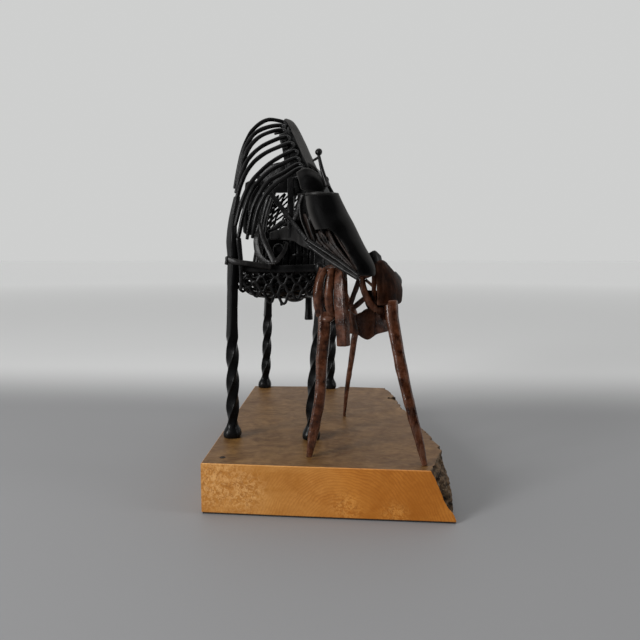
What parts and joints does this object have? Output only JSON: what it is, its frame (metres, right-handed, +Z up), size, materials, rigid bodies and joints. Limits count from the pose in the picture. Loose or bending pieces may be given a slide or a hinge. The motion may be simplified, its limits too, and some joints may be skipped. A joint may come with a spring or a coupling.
{
  "type": "mare and foal sculpture",
  "caption": "Welded iron mare with twisted bar legs nuzzling a rusted iron foal, both standing on a burl wood slab with a live bark edge.",
  "frame": {"origin": "centre of the bounding box's bottom, on the surface the felt rests on", "axes": "+Z up; the mare's body lies along Y and she faces -Y; the live bark edge is on +X"},
  "size_m": [0.2332, 0.3486, 0.3704],
  "materials": {
    "black_iron": "satin",
    "grey_iron": "satin",
    "rusted_iron": "satin",
    "burl_wood": "satin",
    "felt": "matte"
  },
  "bodies": {
    "root": {"base_pad": "felt", "base_slab": "burl_wood", "foal_back": "rusted_iron", "foal_braces": "rusted_iron", "foal_flank_plate": "rusted_iron", "foal_foreleg_left": "rusted_iron", "foal_foreleg_right": "rusted_iron", "foal_groin_plate": "rusted_iron", "foal_haunch_left": "rusted_iron", "foal_haunch_right": "rusted_iron", "foal_head": "rusted_iron", "foal_hindleg_left": "rusted_iron", "foal_hindleg_right": "rusted_iron", "foal_hip_tab": "rusted_iron", "foal_neck": "rusted_iron", "foal_ribs_left": "rusted_iron", "foal_ribs_right": "rusted_iron", "foal_tail": "rusted_iron", "foal_thigh_strap": "rusted_iron", "mare_backbone": "black_iron", "mare_belly_mesh": "black_iron", "mare_breast_frame": "grey_iron", "mare_cheek_left": "grey_iron", "mare_cheek_right": "grey_iron", "mare_chest_bar": "black_iron", "mare_chest_brace": "grey_iron", "mare_croup_plate": "black_iron", "mare_ear_left": "grey_iron", "mare_ear_right": "grey_iron", "mare_face": "black_iron", "mare_foreleg_left": "black_iron", "mare_foreleg_right": "black_iron", "mare_haunch_left": "black_iron", "mare_haunch_right": "black_iron", "mare_hindleg_left": "black_iron", "mare_hindleg_right": "black_iron", "mare_jaw_bar": "grey_iron", "mare_jaw_fins": "grey_iron", "mare_mane_rod_1": "black_iron", "mare_mane_rod_2": "black_iron", "mare_mane_rod_3": "black_iron", "mare_mane_rod_4": "black_iron", "mare_mane_rod_5": "black_iron", "mare_mane_rod_6": "black_iron", "mare_mane_rod_7": "black_iron", "mare_mane_rod_8": "black_iron", "mare_mane_rod_9": "black_iron", "mare_neck_bar": "black_iron", "mare_neck_plate": "grey_iron", "mare_poll_plate": "grey_iron", "mare_ribs_left": "black_iron", "mare_ribs_right": "black_iron", "mare_rump_mesh": "black_iron", "mare_shoulder_bar": "black_iron", "mare_shoulder_plate": "black_iron", "mare_tail": "black_iron", "mare_throat_bar": "black_iron", "mare_throat_plate": "grey_iron", "mare_udder_bowl": "grey_iron", "mare_udder_teat": "black_iron"}
  },
  "joints": []
}
